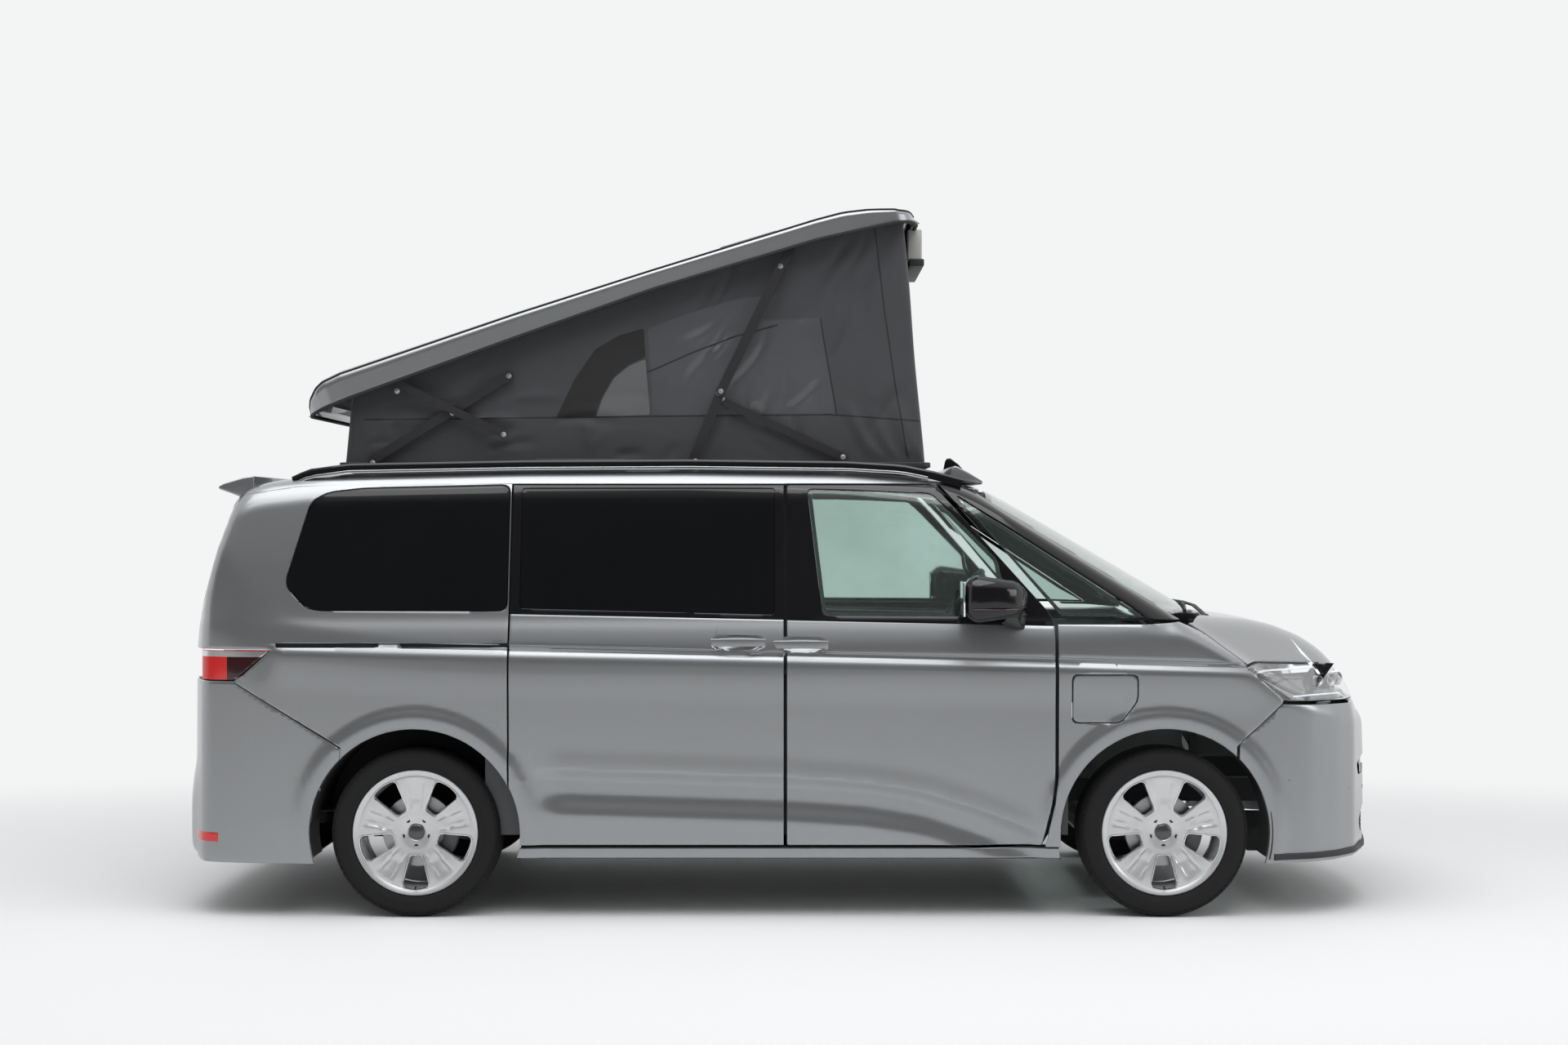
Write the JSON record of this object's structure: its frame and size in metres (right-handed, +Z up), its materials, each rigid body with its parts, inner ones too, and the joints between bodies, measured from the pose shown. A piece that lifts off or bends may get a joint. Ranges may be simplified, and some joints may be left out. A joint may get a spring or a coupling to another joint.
{
  "type": "camper van",
  "caption": "Camper van with a raised pop-up roof on folding struts, fabric tent walls, hinged doors, steered front wheels and a fitted cabin.",
  "frame": {"origin": "on the ground below the middle of the overall body", "axes": "+X towards the nose, +Y to the left of the van, +Z up"},
  "size_m": [5.173, 2.327, 2.9989],
  "materials": {
    "paint_silver": "metallic clear coat",
    "glass_dark": "dark privacy glass",
    "glass_clear": "clear green tint",
    "black_plastic": "fine grain",
    "gloss_black": "gloss",
    "tyre": "moulded rubber",
    "alloy": "painted and machined",
    "fabric_grey": "woven canvas",
    "fabric_dark": "woven cloth",
    "lamp_clear": "clear lens",
    "lamp_red": "red lens",
    "chassis": "underbody coat",
    "cast_metal": "as cast",
    "strut_black": "powder coat",
    "wood_grey": "laminate"
  },
  "bodies": {
    "body": {"floor_pan": "chassis", "side_frame_right": "paint_silver", "side_frame_left": "paint_silver", "roof_panel": "paint_silver", "roof_rails": "black_plastic", "front_wings": "paint_silver", "front_bumper": "paint_silver", "rear_bumper": "paint_silver", "windscreen": "glass_clear", "side_glass": "glass_dark", "sliding_door_right": "paint_silver", "sliding_door_left": "paint_silver", "headlamps": "lamp_clear", "tail_lamps": "lamp_red", "engine_block": "cast_metal", "front_subframe": "chassis", "rear_axle": "chassis", "dashboard": "black_plastic", "front_seats": "fabric_dark", "rear_bench": "fabric_dark", "kitchen_unit": "wood_grey", "tent": "fabric_grey"},
    "bonnet": {"bonnet": "paint_silver"},
    "tailgate": {"tailgate": "paint_silver", "tailgate_glass": "glass_dark"},
    "door_right": {"door_front_right": "paint_silver", "door_glass_right": "glass_clear", "mirror_right": "gloss_black"},
    "door_left": {"door_front_left": "paint_silver", "door_glass_left": "glass_clear", "mirror_left": "gloss_black"},
    "charge_flap": {"charge_flap": "paint_silver"},
    "steering_wheel": {"steering_wheel": "black_plastic"},
    "knuckle_right": {"knuckle_right": "cast_metal"},
    "knuckle_left": {"knuckle_left": "cast_metal"},
    "wheel_front_right": {"wheel_front_right": "alloy", "tyre_front_right": "tyre"},
    "wheel_front_left": {"wheel_front_left": "alloy", "tyre_front_left": "tyre"},
    "wheel_rear_right": {"wheel_rear_right": "alloy", "tyre_rear_right": "tyre"},
    "wheel_rear_left": {"wheel_rear_left": "alloy", "tyre_rear_left": "tyre"},
    "pop_up_roof": {"pop_up_roof": "paint_silver"},
    "strut_lower_arms": {"strut_lower_arms": "strut_black"},
    "strut_upper_arms": {"strut_upper_arms": "strut_black"},
    "strut_braces": {"strut_braces": "strut_black"},
    "scissor_long_arms": {"scissor_long_arms": "strut_black"},
    "scissor_short_arms": {"scissor_short_arms": "strut_black"}
  },
  "joints": [
    {"name": "door_right_hinge", "type": "hinge", "parent": "body", "child": "door_right", "pos_m": [1.1125, -0.9485, 0.755], "axis": [0, 0, 1], "range_deg": [0, 70]},
    {"name": "door_left_hinge", "type": "hinge", "parent": "body", "child": "door_left", "pos_m": [1.1125, 0.9485, 0.755], "axis": [0, 0, -1], "range_deg": [0, 70]},
    {"name": "bonnet_hinge", "type": "hinge", "parent": "body", "child": "bonnet", "pos_m": [1.7965, 0, 1.215], "axis": [0, -1, 0], "range_deg": [0, 50]},
    {"name": "tailgate_hinge", "type": "hinge", "parent": "body", "child": "tailgate", "pos_m": [-2.2565, 0, 1.852], "axis": [0, 1, 0], "range_deg": [0, 85]},
    {"name": "pop_up_roof_hinge", "type": "hinge", "parent": "body", "child": "pop_up_roof", "pos_m": [-2.7345, 0, 1.998], "axis": [0, 1, 0], "range_deg": [0, 18.5], "deforming": ["tent"]},
    {"name": "charge_flap_hinge", "type": "hinge", "parent": "body", "child": "charge_flap", "pos_m": [1.5565, -0.9255, 0.957], "axis": [0, 0, 1], "range_deg": [0, 100]},
    {"name": "steer_right", "type": "hinge", "parent": "body", "child": "knuckle_right", "pos_m": [1.5865, -0.753, 0.352], "axis": [0, 0, 1], "range_deg": [-35, 35]},
    {"name": "steer_left", "type": "hinge", "parent": "body", "child": "knuckle_left", "pos_m": [1.5865, 0.753, 0.352], "axis": [0, 0, 1], "range_deg": [-35, 35]},
    {"name": "steering_wheel_turn", "type": "hinge", "parent": "body", "child": "steering_wheel", "pos_m": [0.8405, 0.385, 1.276], "axis": [-0.809, 0, 0.5878], "range_deg": [-530, 530]},
    {"name": "wheel_front_right_spin", "type": "hinge", "parent": "knuckle_right", "child": "wheel_front_right", "pos_m": [1.5865, -0.815, 0.352], "axis": [0, 1, 0], "continuous": true},
    {"name": "wheel_front_left_spin", "type": "hinge", "parent": "knuckle_left", "child": "wheel_front_left", "pos_m": [1.5865, 0.815, 0.352], "axis": [0, 1, 0], "continuous": true},
    {"name": "wheel_rear_right_spin", "type": "hinge", "parent": "body", "child": "wheel_rear_right", "pos_m": [-1.5375, -0.815, 0.352], "axis": [0, 1, 0], "continuous": true},
    {"name": "wheel_rear_left_spin", "type": "hinge", "parent": "body", "child": "wheel_rear_left", "pos_m": [-1.5375, 0.815, 0.352], "axis": [0, 1, 0], "continuous": true},
    {"name": "strut_lower_arms_pin", "type": "hinge", "parent": "body", "child": "strut_lower_arms", "pos_m": [-0.3895, 0, 1.92], "axis": [0, 1, 0], "range_deg": [0, 68.5]},
    {"name": "strut_upper_arms_pin", "type": "hinge", "parent": "pop_up_roof", "child": "strut_upper_arms", "pos_m": [0.03185, 0, 2.84136], "axis": [0, 1, 0], "range_deg": [0, 46.27]},
    {"name": "strut_braces_pin", "type": "hinge", "parent": "strut_lower_arms", "child": "strut_braces", "pos_m": [-0.2845, 0, 2.179], "axis": [0, 1, 0], "range_deg": [-93.4, 0]},
    {"name": "scissor_long_arms_pin", "type": "hinge", "parent": "body", "child": "scissor_long_arms", "pos_m": [-1.7725, 0, 1.918], "axis": [0, 1, 0], "range_deg": [0, 32.09]},
    {"name": "scissor_short_arms_pin", "type": "hinge", "parent": "pop_up_roof", "child": "scissor_short_arms", "pos_m": [-1.69979, 0, 2.26196], "axis": [0, 1, 0], "range_deg": [-44.52, 0]}
  ],
  "couplings": [
    {"joint": "steer_left", "follows": "steer_right", "ratio": 1},
    {"joint": "steering_wheel_turn", "follows": "steer_right", "ratio": 15},
    {"joint": "strut_lower_arms_pin", "follows": "pop_up_roof_hinge", "ratio": 3.6755},
    {"joint": "strut_upper_arms_pin", "follows": "pop_up_roof_hinge", "ratio": 2.4738},
    {"joint": "strut_braces_pin", "follows": "pop_up_roof_hinge", "ratio": -5.0215},
    {"joint": "scissor_long_arms_pin", "follows": "pop_up_roof_hinge", "ratio": 1.7076},
    {"joint": "scissor_short_arms_pin", "follows": "pop_up_roof_hinge", "ratio": -2.3794}
  ]
}
